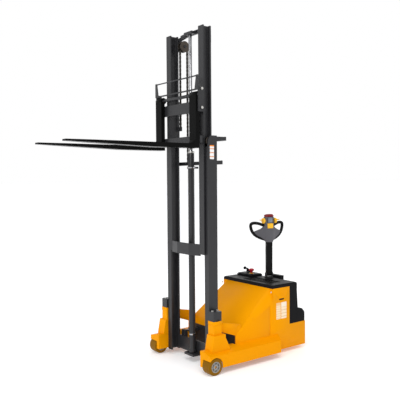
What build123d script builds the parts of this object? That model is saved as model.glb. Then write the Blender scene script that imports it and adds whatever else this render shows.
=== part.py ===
from build123d import *
import os

# Electric walkie stacker, millimetres. X runs forward along the forks, Y to the truck's left, Z up.
# Every size is first taken from the front wheel axle line (X = 0). export() moves the lot so that
# the origin is under the middle of the whole truck, on the floor.

# --- driving dimensions: wheels, legs and body ---
wheel_dia = 150.0
wheel_width = 102.0
wheel_hub_dia = 96.0
wheel_gap = 6.0              # radial room in the leg's wheel arch
truck_width = 952.0
leg_inner_y = 330.0
leg_front_x = 60.0
leg_rear_x = -860.0
leg_bottom_z = 56.0
leg_top_z = 198.0
leg_edge_z = 171.0           # top of the leg at its outer edge
leg_wall = 10.0
axle_dia = 24.0
body_half = 366.0
body_wall = 10.0
body_front_x = -321.0
body_rear_x = -1245.0
body_bottom_z = 37.0
slope_foot_z = 274.0
slope_top_x = -790.0
body_top_z = 644.0
panel_rear_x = -1022.0
rear_deck_z = 271.0
cover_rear_x = -1127.0
cover_height = 32.0
column_foot_x = -1139.0
step_rear_x = -1243.0
step_top_z = 415.0
step_edge_z = 356.0
skin = 5.0                   # wall of the moulded covers

# --- driving dimensions: mast ---
mast_height = 2090.0
mast_foot_z = 47.0
mast_rear_x = -147.0
mast_front_x = -47.0
mast_half = 325.0
steel = 15.0                 # web and flange thickness of the mast sections
flange_tip_y = mast_half - 61
inner_rear_x = -120.0
inner_front_x = -27.0
inner_out_y = mast_half - 40
inner_in_y = mast_half - 110
inner_web_y = mast_half - 82
inner_web = 10.0
inner_foot_z = 1029.0        # at the half-raised rest height
inner_length = 2030.0
roller_fit = 0.2
outer_roller_z = 2042.0
inner_roller_z = 1066.0
pivot_x = -78.0
pivot_z = 450.0
pivot_dia = 40.0
running_fit = 0.05
lift_down = 960.0
barrel_x = -100.0
barrel_dia = 59.0
barrel_bore = 50.0
barrel_top_z = 1945.0
rod_dia = 33.0
pulley_dia = 82.0
pulley_width = 46.0
pulley_x = -140.0
pulley_y = inner_in_y - 55
pulley_drop = pulley_dia / 2 + 61  # pulley pin below the top of the inner mast
chain_thick = 10.0
chain_width = 26.0
anchor_z = 1870.0
lug_rise = 70.0              # front chain lugs above the lower carriage rollers

# --- driving dimensions: carriage and forks ---
fork_width = 96.0
fork_y = mast_half - 56
fork_thick = 40.0
fork_reach = 1199.0
fork_top_z = 2015.0
fork_back_x = 39.5
shaft_dia = 30.0
shaft_x = 50.0
shaft_z = 2440.0
bar_x = (10.0, 39.0)
carriage_half = mast_half - 3
upper_bar_z = (2292.0, 2390.0)
lower_bar_z = (2022.0, 2085.0)
carriage_roller_z = (2130.0, 2400.0)
rest_rise = 218.0            # backrest above the upper bar

# --- driving dimensions: tiller and drive ---
steer_x = -1098.0
steer_angle = 75.0           # the tiller stands turned to the left
tiller_pivot_z = 715.0
arm_width = 65.0
arm_depth = 42.0
neck_z = 1003.0
head_top_z = 1330.0
head_half = 198.0
grip_dia = 28.0
drive_dia = 230.0
drive_width = 76.0

# --- worked out ---
axle_z = wheel_dia / 2
half_width = truck_width / 2
fork_tip_x = fork_back_x + fork_thick + fork_reach
slope_rise = (body_top_z - slope_foot_z) / (body_front_x - slope_top_x)
mast_mid_x = (mast_rear_x + mast_front_x) / 2
inner_mid_x = (inner_rear_x + inner_front_x) / 2
outer_track = mast_front_x - mast_rear_x - 2 * steel
inner_track = inner_front_x - inner_rear_x - 2 * steel
inner_top_z = inner_foot_z + inner_length
pulley_z = inner_top_z - pulley_drop
lug_z = carriage_roller_z[0] + lug_rise
rest_top_z = upper_bar_z[1] + rest_rise
cover_top_z = body_top_z + cover_height
tilt_z = 230.0               # tilt cylinder line, and where its two pins stand
tilt_y = flange_tip_y - 64
tilt_pin_x = -160.0
tilt_seat_x = -300.0
nodes = {}


def block(x0, x1, y0, y1, z0, z1):
    return Pos((x0 + x1) / 2, (y0 + y1) / 2, (z0 + z1) / 2) * Box(abs(x1 - x0), abs(y1 - y0), abs(z1 - z0))


def side_prism(points, y0, y1):
    """A side outline (X, Z) drawn out along Y."""
    face = make_face(Polyline(*[(x, y0, z) for x, z in points], close=True))
    return extrude(face, amount=y1 - y0, dir=(0, 1, 0))


def end_prism(points, x0, x1):
    """An end outline (Y, Z) drawn out along X."""
    face = make_face(Polyline(*[(x0, y, z) for y, z in points], close=True))
    return extrude(face, amount=x1 - x0, dir=(1, 0, 0))


def plan_prism(points, z0, z1):
    """A plan outline (X, Y) drawn out along Z."""
    face = make_face(Polyline(*[(x, y, z0) for x, y in points], close=True))
    return extrude(face, amount=z1 - z0, dir=(0, 0, 1))


def rod_x(y, z, dia, x0, x1):
    return Pos((x0 + x1) / 2, y, z) * Rot(0, 90, 0) * Cylinder(dia / 2, abs(x1 - x0))


def rod_y(x, z, dia, y0, y1):
    return Pos(x, (y0 + y1) / 2, z) * Rot(90, 0, 0) * Cylinder(dia / 2, abs(y1 - y0))


def rod_z(x, y, dia, z0, z1):
    return Pos(x, y, (z0 + z1) / 2) * Cylinder(dia / 2, abs(z1 - z0))


def other_side(shape):
    return mirror(shape, Plane.XZ)


def steered(shape):
    """Turn a piece drawn for straight running to where the tiller stands."""
    return Pos(steer_x, 0, 0) * Rot(0, 0, steer_angle) * Pos(-steer_x, 0, 0) * shape


def keep(name, *shapes):
    nodes[name] = [solid for shape in shapes for solid in shape.solids()]


def pair(name, left):
    """One node for a left piece and its twin on the right."""
    keep(name, left, other_side(left))


def both(name, left):
    """Two nodes, one for each side."""
    keep(name + "_left", left)
    keep(name + "_right", other_side(left))


def slope_z(x):
    return slope_foot_z + slope_rise * (body_front_x - x)


# --- legs and load wheels ---

def leg():
    outline = [(leg_inner_y, leg_bottom_z), (half_width, leg_bottom_z), (half_width, leg_edge_z),
               (body_half, leg_top_z), (leg_inner_y, leg_top_z)]
    hollow = [(leg_inner_y + leg_wall, leg_bottom_z - 1), (half_width - leg_wall, leg_bottom_z - 1),
              (half_width - leg_wall, leg_edge_z - leg_wall), (body_half, leg_top_z - leg_wall),
              (leg_inner_y + leg_wall, leg_top_z - leg_wall)]
    shell = end_prism(outline, leg_rear_x, leg_front_x)
    shell -= end_prism(hollow, leg_rear_x + leg_wall, leg_front_x - leg_wall)
    shell -= block(leg_rear_x - 1, body_front_x + leg_wall, leg_inner_y - 1, body_half, 0, leg_top_z + 1)
    rib = end_prism(outline, body_front_x, body_front_x + leg_wall)
    shell += rib - block(body_front_x, body_front_x + leg_wall, 0, body_half, 0, leg_top_z)
    heel = 66.0
    shell -= plan_prism([(leg_rear_x - 1, half_width + 1), (leg_rear_x - 1, body_half),
                         (leg_rear_x, body_half), (leg_rear_x + heel, half_width + 1)], 0, leg_top_z + 1)
    heel_plate = plan_prism([(leg_rear_x, body_half), (leg_rear_x + heel, half_width),
                             (leg_rear_x + heel + 12, half_width), (leg_rear_x + 12, body_half)],
                            leg_bottom_z, leg_edge_z)
    shell += heel_plate
    arch = wheel_dia + 2 * wheel_gap
    wheel_in_y = half_width - wheel_width
    shell -= rod_y(0, axle_z, arch, wheel_in_y - 4, half_width + 1)
    shell += rod_y(0, axle_z, axle_dia, leg_inner_y, half_width - 12)
    return shell


def tyre(dia, hub_dia, width, x, y, z):
    ring = rod_y(x, z, dia, y - width / 2, y + width / 2)
    ring = fillet(ring.edges().filter_by(GeomType.CIRCLE), 8)
    return ring - rod_y(x, z, hub_dia, y - width / 2 - 1, y + width / 2 + 1)


def wheel_hub():
    y = half_width - wheel_width / 2
    hub = rod_y(0, axle_z, wheel_hub_dia, y - wheel_width / 2, y + wheel_width / 2)
    pocket = 14.0
    for side in (-1, 1):
        face_y = y + side * wheel_width / 2
        dish = rod_y(0, axle_z, wheel_hub_dia - 16, face_y - side * pocket, face_y + side)
        dish -= rod_y(0, axle_z, axle_dia + 26, face_y - side * pocket, face_y + side)
        for k in range(6):
            rib = Pos(0, face_y - side * pocket / 2, axle_z) * Rot(0, 60 * k, 0) * Pos(30, 0, 0)
            dish -= rib * Box(30, pocket, 6)
        hub -= dish
    return hub - rod_y(0, axle_z, axle_dia + 2 * running_fit, y - wheel_width, y + wheel_width)


both("leg", leg())
both("wheel_tyre", tyre(wheel_dia, wheel_hub_dia, wheel_width, 0, half_width - wheel_width / 2, axle_z))
both("wheel_hub", wheel_hub())


# --- body: plates, hood and moulded covers ---

arm_top_z = 425.0            # the side plate's arm that holds the mast post
arm_foot_z = 335.0
post_rear_x = -122.0
post_foot_x = -150.0
post_front_x = -33.0
post_in_y = 327.0
side_outline = [(body_rear_x, body_bottom_z), (body_front_x, body_bottom_z), (body_front_x, slope_foot_z),
                (post_foot_x, arm_foot_z), (post_rear_x, arm_foot_z), (post_rear_x, arm_top_z),
               (-430.0, slope_z(-430.0)),
                (slope_top_x, body_top_z), (panel_rear_x, body_top_z), (panel_rear_x, rear_deck_z),
                (body_rear_x, rear_deck_z)]
inside = body_half - body_wall
both("side_panel", side_prism(side_outline, inside, body_half))

slope_len = ((body_front_x - slope_top_x) ** 2 + (body_top_z - slope_foot_z) ** 2) ** 0.5
hood_wall = 4.0
in_x = -hood_wall * (body_top_z - slope_foot_z) / slope_len
in_z = -hood_wall * (body_front_x - slope_top_x) / slope_len
keep("hood_front", side_prism([(body_front_x, slope_foot_z), (slope_top_x, body_top_z),
                               (slope_top_x + in_x, body_top_z + in_z),
                               (body_front_x + in_x, slope_foot_z + in_z)], -inside, inside))

floor_wall = 12.0
well_x0 = steer_x - 137.0
well_x1 = steer_x + 137.0
floor_top_z = body_bottom_z + floor_wall
base_plate = block(body_rear_x, body_front_x, -inside, inside, body_bottom_z, floor_top_z)
base_plate -= block(well_x0, well_x1, -150, 150, 0, floor_top_z + 1)
keep("base_plate", base_plate)

under_x = body_front_x + in_x
bulkhead = side_prism([(under_x - 8, floor_top_z), (under_x, floor_top_z),
                       (under_x, slope_foot_z + in_z), (under_x - 8, slope_foot_z + in_z + 8 * slope_rise)],
                      -inside, inside)
cheek_gap = 14.0             # half width between the tilt cylinder's cheeks
for y in (-tilt_y, tilt_y):
    for side in (-1, 1):
        bulkhead += block(under_x, tilt_seat_x + 14, y + side * (cheek_gap + 0.5),
                          y + side * (cheek_gap + 9), tilt_z - 16, tilt_z + 16)
    bulkhead += rod_y(tilt_seat_x, tilt_z, 16, y - cheek_gap - 5, y + cheek_gap + 5)
keep("front_bulkhead", bulkhead)
keep("rear_skirt", block(body_rear_x, body_rear_x + 10, -inside, inside, floor_top_z, rear_deck_z))


def top_cover():
    shell = block(cover_rear_x, slope_top_x, -body_half, body_half, body_top_z, cover_top_z)
    shell = chamfer(shell.edges().filter_by_position(Axis.Z, cover_top_z, cover_top_z), 10)
    roof = 16.0
    shell -= block(cover_rear_x + skin, slope_top_x - skin, -body_half + skin, body_half - skin,
                   body_top_z - 1, cover_top_z - roof)
    shell -= block(cover_rear_x + 127, slope_top_x - 45, -110, body_half - 96, cover_top_z - 8,
                   cover_top_z + 1)
    console_z = cover_top_z + 24
    console = block(cover_rear_x + 9, cover_rear_x + 167, -body_half + 21, -125, cover_top_z - 2, console_z)
    console = chamfer(console.edges().filter_by_position(Axis.Z, console_z, console_z), 9)
    shell += console
    for y in (lever_y - 20, lever_y + 20):
        shell += block(lever_x - 12, lever_x + 12, y - 4, y + 4, console_z - 1, lever_z + 12)
    shell += rod_y(lever_x, lever_z, 10, lever_y - 20, lever_y + 20)
    shell -= rod_z(stop_x, stop_y, stop_stem + 0.3, body_top_z, console_z + 1)
    shell -= rod_z(steer_x, 0, 100, body_top_z - 1, cover_top_z + 1)
    return shell


lever_x = cover_rear_x + 42
lever_y = -body_half + 66
lever_z = cover_top_z + 40
stop_x = cover_rear_x + 87
stop_y = -205.0
stop_stem = 18.0
keep("top_cover", top_cover())

bulge_half = 112.0
lean_top_z = body_top_z - 44  # the column leans forward up to this height
bulge_rear_x = column_foot_x - 61
bulge_top_z = cover_top_z + 24


def rear_column():
    outer = [(panel_rear_x, rear_deck_z), (column_foot_x, rear_deck_z), (column_foot_x, step_top_z),
             (cover_rear_x, lean_top_z), (cover_rear_x, body_top_z), (panel_rear_x, body_top_z)]
    inner = [(panel_rear_x + 1, rear_deck_z - 1), (column_foot_x + skin, rear_deck_z - 1),
             (column_foot_x + skin, step_top_z), (cover_rear_x + skin, lean_top_z),
             (cover_rear_x + skin, body_top_z + 1), (panel_rear_x + 1, body_top_z + 1)]
    shell = side_prism(outer, -body_half, body_half)
    shell -= side_prism(inner, -body_half + skin, body_half - skin)
    bulge_in = [(column_foot_x + skin + 1, step_top_z + 2), (bulge_rear_x, step_top_z + 2),
                (bulge_rear_x, bulge_top_z), (cover_rear_x - 31, bulge_top_z),
                (cover_rear_x - 19, body_top_z), (cover_rear_x - 1, body_top_z),
                (cover_rear_x - 1, lean_top_z)]
    bulge = side_prism(bulge_in, -bulge_half, bulge_half)
    shell += bulge
    room = [(column_foot_x + 20, rear_deck_z - 1), (column_foot_x - 1, rear_deck_z - 1),
            (column_foot_x - 1, step_top_z + 1), (bulge_rear_x + skin, step_top_z + 1),
            (bulge_rear_x + skin, body_top_z - skin), (column_foot_x + 20, body_top_z - skin)]
    shell -= side_prism(room, -bulge_half + skin, bulge_half - skin)
    return shell - rod_z(steer_x, 0, 100, body_top_z - 44, bulge_top_z + 1)


def rear_step():
    front_x = column_foot_x
    outer = [(front_x, rear_deck_z), (step_rear_x, rear_deck_z), (step_rear_x, step_edge_z),
             (step_rear_x + 38, step_top_z - 15), (front_x, step_top_z)]
    inner = [(front_x + 1, rear_deck_z - 1), (step_rear_x + skin, rear_deck_z - 1),
             (step_rear_x + skin, step_edge_z - 3), (step_rear_x + 38, step_top_z - 15 - skin - 2),
             (front_x + 1, step_top_z - skin - 2)]
    shell = side_prism(outer, -body_half, body_half)
    corner = [edge for edge in shell.edges().filter_by(Axis.Z) if edge.center().X < step_rear_x + 1]
    shell = chamfer(corner, 7)
    shell -= side_prism(inner, -body_half + skin + 6, body_half - skin - 6)
    return shell - block(bulge_rear_x + skin, front_x + 1, -bulge_half + skin, bulge_half - skin,
                         step_edge_z, step_top_z + 1)


keep("rear_column", rear_column())
keep("rear_step", rear_step())


# --- mast posts with split pivot blocks ---

post_out_y = 430.0
cap_out_y = 406.0
post_shoulder_z = 330.0
cap_top_z = 535.0
bolt_x = (-105.0, -51.0)
bolt_y = 366.0
leg_fall = (leg_top_z - leg_edge_z) / (half_width - body_half)


def mast_post():
    foot_x0 = -201.0
    foot = side_prism([(foot_x0, leg_edge_z - 20), (foot_x0, leg_top_z), (post_foot_x, 300),
                       (post_foot_x, post_shoulder_z), (-20, post_shoulder_z), (5, leg_top_z),
                       (5, leg_edge_z - 20)], post_in_y, post_out_y)
    out_z = leg_top_z - leg_fall * (post_out_y - body_half)
    under = [(post_in_y - 1, 0), (post_out_y + 1, 0), (post_out_y + 1, out_z - leg_fall),
             (body_half, leg_top_z), (post_in_y - 1, leg_top_z)]
    foot -= end_prism(under, foot_x0 - 1, 6)
    upper = block(post_rear_x, post_front_x, post_in_y, cap_out_y, post_shoulder_z, pivot_z)
    post = foot + upper
    post -= rod_y(pivot_x, pivot_z, pivot_dia + 2 * running_fit, post_in_y - 1, cap_out_y + 1)
    for x in bolt_x:
        post -= rod_z(x, bolt_y, 12.4, pivot_z - 70, pivot_z + 1)
    return post


def pivot_cap():
    cap = block(post_rear_x, post_front_x, post_in_y, cap_out_y, pivot_z, cap_top_z)
    cap -= rod_y(pivot_x, pivot_z, pivot_dia + 2 * running_fit, post_in_y - 1, cap_out_y + 1)
    for x in bolt_x:
        cap -= rod_z(x, bolt_y, 12.4, pivot_z - 1, cap_top_z + 1)
    return cap


def cap_bolt(x):
    head = Pos(x, bolt_y, cap_top_z + 5) * extrude(RegularPolygon(11, 6), amount=10, both=False)
    head = Pos(0, 0, -5) * head
    return head + rod_z(x, bolt_y, 12, pivot_z - 69, cap_top_z)


both("mast_post", mast_post())
pair("pivot_caps", pivot_cap())
bolts = [cap_bolt(x) for x in bolt_x]
keep("cap_bolts", *bolts, *[other_side(b) for b in bolts])


# --- what the hood hides ---

battery_front_x = -570.0
battery_top_z = min(body_top_z - 60, slope_z(battery_front_x) - 30)
keep("battery", block(-930, battery_front_x, -300, 300, floor_top_z, battery_top_z))
hydraulic_unit = block(-545, -375, -285, -65, floor_top_z, 215)
hydraulic_unit += rod_y(-460, 130, 110, -66, 120)
hydraulic_unit += block(-500, -420, 90, 121, floor_top_z, 130)
keep("hydraulic_unit", hydraulic_unit)
keep("controller", block(-545, -385, 150, 310, floor_top_z, 125))

bearing_top_z = rear_deck_z - 3
bearing_deck = block(body_rear_x + 10, well_x1, -inside, inside, bearing_top_z - 12, bearing_top_z)
bearing_deck += rod_z(steer_x, 0, 120, bearing_top_z - 1, bearing_top_z + 14)
column_dia = 62.0
bearing_deck -= rod_z(steer_x, 0, column_dia + 2 * running_fit, 200, 320)
keep("steering_bearing", bearing_deck)


# --- drive unit, steered with the tiller ---

def drive_unit():
    plate_z = drive_dia + 8
    unit = rod_z(steer_x, 0, 200, plate_z, plate_z + 14)
    unit += rod_z(steer_x, 0, column_dia, plate_z, cover_top_z + 2)
    unit += rod_z(steer_x, 0, 168, bearing_top_z + 18, 520)
    for side in (-1, 1):
        inner_y = side * (drive_width / 2 + 4)
        cheek = block(steer_x - 45, steer_x + 45, inner_y, inner_y + side * 12, drive_dia / 2, plate_z + 1)
        cheek += rod_y(steer_x, drive_dia / 2, 90, inner_y, inner_y + side * 12)
        unit += cheek
    unit += rod_y(steer_x, drive_dia / 2, 30, -drive_width / 2 - 10, drive_width / 2 + 10)
    disc_z = cover_top_z + 0.5
    unit += rod_z(steer_x, 0, 86, disc_z, disc_z + 13)
    for side in (-1, 1):
        inner_y = side * (arm_width / 2 + 0.3)
        unit += block(steer_x - 16, steer_x + 16, inner_y, inner_y + side * 8, disc_z + 5, tiller_pivot_z)
        unit += rod_y(steer_x, tiller_pivot_z, 32, inner_y, inner_y + side * 8)
    unit += rod_y(steer_x, tiller_pivot_z, 18, -arm_width / 2 - 1, arm_width / 2 + 1)
    return unit


drive_z = drive_dia / 2
hub_bore = rod_y(steer_x, drive_z, 30 + 2 * running_fit, -drive_width, drive_width)
drive_tyre = tyre(drive_dia, 170, drive_width, steer_x, 0, drive_z)
drive_hub = rod_y(steer_x, drive_z, 170, -drive_width / 2, drive_width / 2) - hub_bore
keep("drive_unit", steered(drive_unit()))
keep("drive_wheel", steered(drive_tyre), steered(drive_hub))


# --- tiller ---

sweep_back = 0.34            # how far the grips fall behind the arm, per unit of reach
tower_half = 52.0
tower_back = 22.0
tower_front = 30.0
butterfly_z = head_top_z - 62
thumb_x = steer_x + 8
thumb_hub_dia = 44.0
button_z = (head_top_z - 140, head_top_z - 89)
button_half = 32.0
key_fit = 0.25               # side room round the push buttons
thumb_reach = 112.0          # tips of the two thumb paddles


def tiller_arm():
    arm = block(steer_x - arm_depth / 2, steer_x + arm_depth / 2, -arm_width / 2, arm_width / 2,
                tiller_pivot_z, neck_z)
    arm += rod_y(steer_x, tiller_pivot_z, arm_depth, -arm_width / 2, arm_width / 2)
    return arm - rod_y(steer_x, tiller_pivot_z, 18 + 2 * running_fit, -arm_width, arm_width)


def swept_plane(side):
    """The upright plane that one grip lies in, through the arm's middle line."""
    return Plane(origin=(steer_x, 0, 0), x_dir=(-sweep_back, side, 0), z_dir=(side, sweep_back, 0))


def grip(side):
    reach = (head_half - grip_dia / 2) * (1 + sweep_back ** 2) ** 0.5
    plane = swept_plane(side)
    turn = plane.y_dir.Z
    points = [(20, -90), (0.66 * reach, -84), (reach, -104), (0.97 * reach, -170),
              (0.7 * reach, -222), (22, -246)]
    points = [(w, head_top_z + drop) for w, drop in points]
    path = FilletPolyline(*[plane.from_local_coords((w, turn * z, 0)) for w, z in points],
                          radius=[60, 24, 40, 50])
    start = Plane(origin=path @ 0, z_dir=path % 0)
    return sweep(start * Circle(grip_dia / 2), path=path)


def web_plate(side):
    plane = swept_plane(side)
    turn = plane.y_dir.Z
    points = [(0, -280), (40, -258), (118, -226), (160, -188), (150, -170), (62, -134), (0, -115)]
    corners = [plane.from_local_coords((w, turn * (head_top_z + drop), 0)) for w, drop in points]
    face = make_face(Polyline(*corners, close=True))
    return extrude(face, amount=13, both=True)


def tiller_head():
    tower_foot_z = head_top_z - 270
    head = block(steer_x - tower_back, steer_x + tower_front, -tower_half, tower_half, tower_foot_z,
                 head_top_z)
    head = fillet(head.edges().filter_by(Axis.Z), 12)
    neck = end_prism([(-38, neck_z), (38, neck_z), (46, tower_foot_z + 2), (-46, tower_foot_z + 2)],
                     steer_x - tower_back, steer_x + tower_front - 8)
    head += neck
    for side in (-1, 1):
        head += web_plate(side)
        head += grip(side)
    head -= rod_y(thumb_x, butterfly_z, 12 + 4 * running_fit, -tower_half - 1, tower_half + 1)
    head -= block(steer_x - 15.5 - key_fit, steer_x + 23.5 + key_fit, -40.5 - key_fit, 40.5 + key_fit,
                  head_top_z - 20, head_top_z + 1)
    head -= block(steer_x + tower_front - 15, steer_x + tower_front + 1, -button_half - key_fit,
                  button_half + key_fit, button_z[0] - key_fit, button_z[1] + key_fit)
    return head


def butterfly():
    lever = rod_y(thumb_x, butterfly_z, 12, -tower_half - 8, tower_half + 8)
    for side in (-1, 1):
        y0 = side * (tower_half + 0.5)
        lever += rod_y(thumb_x, butterfly_z, thumb_hub_dia, y0, y0 + side * 25)
        paddle = block(thumb_x - 5, thumb_x + 21, y0 + side * 24, side * thumb_reach,
                       butterfly_z + 4, butterfly_z + 14)
        lever += fillet(paddle.edges().filter_by(Axis.Y), 4)
    return lever


belly_button = block(steer_x - 15.5, steer_x + 23.5, -40.5, 40.5, head_top_z - 7, head_top_z + 7)
belly_button = fillet(belly_button.edges().filter_by_position(Axis.Z, head_top_z + 7, head_top_z + 7), 5)
belly_button += block(steer_x - 8, steer_x + 8, -20, 20, head_top_z - 13.7, head_top_z - 6)
lift_button = block(steer_x + tower_front - 5, steer_x + tower_front + 6, -button_half, button_half,
                    *button_z)
lift_button += block(steer_x + tower_front - 9.7, steer_x + tower_front - 4, -12, 12,
                     button_z[0] + 12, button_z[1] - 12)
keep("tiller_arm", steered(tiller_arm()))
keep("tiller_head", steered(tiller_head()))
keep("butterfly", steered(butterfly()))
keep("belly_button", steered(belly_button))
keep("lift_button", steered(lift_button))

stop_top_z = cover_top_z + 68
stop_button = rod_z(stop_x, stop_y, stop_stem, cover_top_z - 12, stop_top_z - 14)
stop_button += rod_z(stop_x, stop_y, 42, stop_top_z - 16, stop_top_z)
keep("stop_button", fillet(stop_button.edges().filter_by_position(Axis.Z, stop_top_z, stop_top_z), 6))

knob = Vector(lever_x + 77, lever_y + 24, lever_z + 50)
root_point = Vector(lever_x, lever_y, lever_z)
reach_axis = knob - root_point
stem_plane = Plane(origin=root_point, z_dir=reach_axis)
hand_lever = rod_y(lever_x, lever_z, 24, lever_y - 15.7, lever_y + 15.7)
hand_lever += stem_plane * Pos(0, 0, reach_axis.length / 2) * Cylinder(5, reach_axis.length)
hand_lever += Pos(knob.X, knob.Y, knob.Z) * Sphere(13)
hand_lever -= rod_y(lever_x, lever_z, 10 + 2 * running_fit, lever_y - 20, lever_y + 20)
keep("hand_lever", hand_lever)


# --- outer mast ---

def outer_channel():
    web = block(mast_rear_x, mast_front_x, mast_half - steel, mast_half, mast_foot_z, mast_height)
    front = block(mast_front_x - steel, mast_front_x, flange_tip_y, mast_half, mast_foot_z, mast_height)
    rear = block(mast_rear_x, mast_rear_x + steel, flange_tip_y, mast_half, mast_foot_z, mast_height)
    channel = web + front + rear
    notch_z = outer_roller_z - 50
    channel -= block(mast_front_x - steel, mast_front_x + 1, flange_tip_y - 1, mast_half - steel,
                     notch_z, mast_height + 1)
    channel -= side_prism([(mast_front_x + 1, mast_height - 40), (mast_front_x + 1, mast_height + 1),
                           (mast_front_x - 30, mast_height + 1)], flange_tip_y, mast_half + 1)
    channel += rod_y(inner_mid_x, outer_roller_z, 30, inner_web_y + inner_web + 4, mast_half - steel + 1)
    channel += rod_y(pivot_x, pivot_z, pivot_dia, mast_half - 1, cap_out_y - 8)
    return channel


both("outer_channel", outer_channel())
beam_top_z = 185.0
beam_wall = 12.0
beam_front_x = mast_rear_x + beam_wall
lower_beam = block(mast_rear_x, beam_front_x, -flange_tip_y, flange_tip_y, mast_foot_z + 8, beam_top_z)
lower_beam += block(beam_front_x, barrel_x + 45, -70, 70, mast_foot_z + 8, mast_foot_z + 28)
for y in (-tilt_y, tilt_y):
    for side in (-1, 1):
        lower_beam += block(tilt_pin_x - 14, beam_front_x, y + side * (cheek_gap + 0.5),
                            y + side * (cheek_gap + 9), beam_top_z - 20, tilt_z + 14)
    lower_beam += rod_y(tilt_pin_x, tilt_z, 14, y - cheek_gap - 5, y + cheek_gap + 5)
keep("outer_lower_beam", lower_beam)

tie_depth = 34.0
tie_levels = ((2065.0, -256.0), (1852.0, -213.0))
ties = []
for z, rear in tie_levels:
    ties.append(block(rear, rear + 12, -mast_half, mast_half, z - tie_depth / 2, z + tie_depth / 2))
    for side in (-1, 1):
        ties.append(block(rear + 12, mast_rear_x, side * (mast_half - 14), side * mast_half,
                          z - tie_depth / 2, z + tie_depth / 2))
ties.append(block(tie_levels[1][1] + 12, pulley_x - pulley_dia / 2 + 8, -pulley_y - 22, pulley_y + 22,
                  anchor_z - 34, anchor_z - 4))
for side in (-1, 1):
    anchor_x = max(pulley_x - pulley_dia / 2 - 12, tie_levels[1][1] + 12)
    ties.append(block(anchor_x, anchor_x + 14, side * (pulley_y - 9), side * (pulley_y + 9),
                      anchor_z - 4, anchor_z))
keep("tie_bars", *ties)

barrel_foot_z = mast_foot_z + 28
bore_foot_z = barrel_foot_z + 25
barrel = rod_z(barrel_x, 0, barrel_dia, barrel_foot_z, barrel_top_z)
barrel -= rod_z(barrel_x, 0, barrel_bore, bore_foot_z, barrel_top_z + 1)
barrel += rod_z(barrel_x, 0, barrel_dia + 16, 1800, 1822) - rod_z(barrel_x, 0, barrel_dia - 2, 1799, 1823)
barrel += rod_z(barrel_x, 0, barrel_dia + 10, barrel_foot_z, barrel_foot_z + 30) \
    - rod_z(barrel_x, 0, barrel_dia - 2, barrel_foot_z - 1, barrel_foot_z + 31)
barrel += block(barrel_x - 78, barrel_x - barrel_dia / 2 + 3, -9, 9, 1802, 1820)
keep("lift_barrel", barrel)
gland = rod_z(barrel_x, 0, barrel_dia + 4, barrel_top_z, barrel_top_z + 18)
gland += rod_z(barrel_x, 0, barrel_bore - 0.2, barrel_top_z - 40, barrel_top_z + 1)
gland -= rod_z(barrel_x, 0, rod_dia + 2 * running_fit, barrel_top_z - 41, barrel_top_z + 19)
keep("barrel_gland", gland)

chain_x = pulley_x - pulley_dia / 2
front_chain_x = pulley_x + pulley_dia / 2
pair("chains_rear", block(chain_x - chain_thick / 2, chain_x + chain_thick / 2, pulley_y - chain_width / 2,
                          pulley_y + chain_width / 2, anchor_z, pulley_z))


def roller(dia, x, y0, y1, z, bore):
    wheel = rod_y(x, z, dia, y0, y1)
    wheel = chamfer(wheel.edges().filter_by(GeomType.CIRCLE), 2)
    return wheel - rod_y(x, z, bore + 2 * running_fit, y0 - 1, y1 + 1)


pair("outer_rollers", roller(inner_track - 2 * roller_fit, inner_mid_x, inner_web_y + inner_web + 4,
                             mast_half - steel - 4, outer_roller_z, 30))


# --- inner mast, which slides in the outer one ---

def inner_channel():
    web = block(inner_rear_x, inner_front_x, inner_web_y, inner_web_y + inner_web, inner_foot_z,
                inner_top_z)
    front = block(inner_front_x - steel, inner_front_x, inner_in_y, inner_out_y, inner_foot_z, inner_top_z)
    rear = block(inner_rear_x, inner_rear_x + steel, inner_in_y, inner_out_y, inner_foot_z, inner_top_z)
    channel = web + front + rear
    channel -= block(inner_rear_x - 1, inner_rear_x + steel + 0.5, inner_web_y + inner_web, inner_out_y + 1,
                     inner_foot_z - 1, inner_roller_z + 46)
    channel += rod_y(mast_mid_x, inner_roller_z, 30, inner_web_y + 1, mast_half - steel - 4)
    return channel


both("inner_channel", inner_channel())
pair("inner_rollers", roller(outer_track - 2 * roller_fit, mast_mid_x, inner_web_y + inner_web + 4,
                             mast_half - steel - 4, inner_roller_z, 30))

head_span = inner_web_y + 15
beam_foot_z = inner_top_z - 69
rod_top_z = inner_top_z - 25
window_y = pulley_y + pulley_width / 2 + 5
head_half_outline = [(head_span, beam_foot_z), (head_span, inner_top_z - 19), (182, inner_top_z - 11),
                     (182, inner_top_z + 3), (90, inner_top_z + 11)]
window_half = [(window_y, beam_foot_z - 10), (window_y, inner_top_z - 43), (90, inner_top_z - 27)]
head_x0 = inner_rear_x - 22


def whole(half):
    """The other half of an outline is its mirror image."""
    return half + [(-y, z) for y, z in reversed(half)]


top_beam = end_prism(whole(head_half_outline), head_x0, inner_rear_x)
top_beam -= end_prism(whole(window_half), head_x0 - 1, inner_rear_x + 1)
top_beam += block(inner_rear_x - 1, barrel_x + 30, -60, 60, rod_top_z, rod_top_z + 24)
keep("inner_top_beam", top_beam)

bow = 30.0
brace_z = (inner_foot_z - 15, inner_foot_z + 91)
brace_back = [(inner_front_x - steel, inner_in_y), (inner_front_x + bow - 14, 90),
              (inner_front_x + bow - 14, -90), (inner_front_x - steel, -inner_in_y)]
brace_front = [(inner_front_x, -inner_in_y), (inner_front_x + bow, -90), (inner_front_x + bow, 90),
               (inner_front_x, inner_in_y)]
keep("inner_lower_brace", plan_prism(brace_back + brace_front, *brace_z))

rod_foot_z = bore_foot_z + 20 + lift_down
lift_rod = rod_z(barrel_x, 0, rod_dia, rod_foot_z, rod_top_z)
lift_rod += rod_z(barrel_x, 0, barrel_bore - 2 * running_fit, rod_foot_z, rod_foot_z + 40)
keep("lift_rod", lift_rod)


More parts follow.
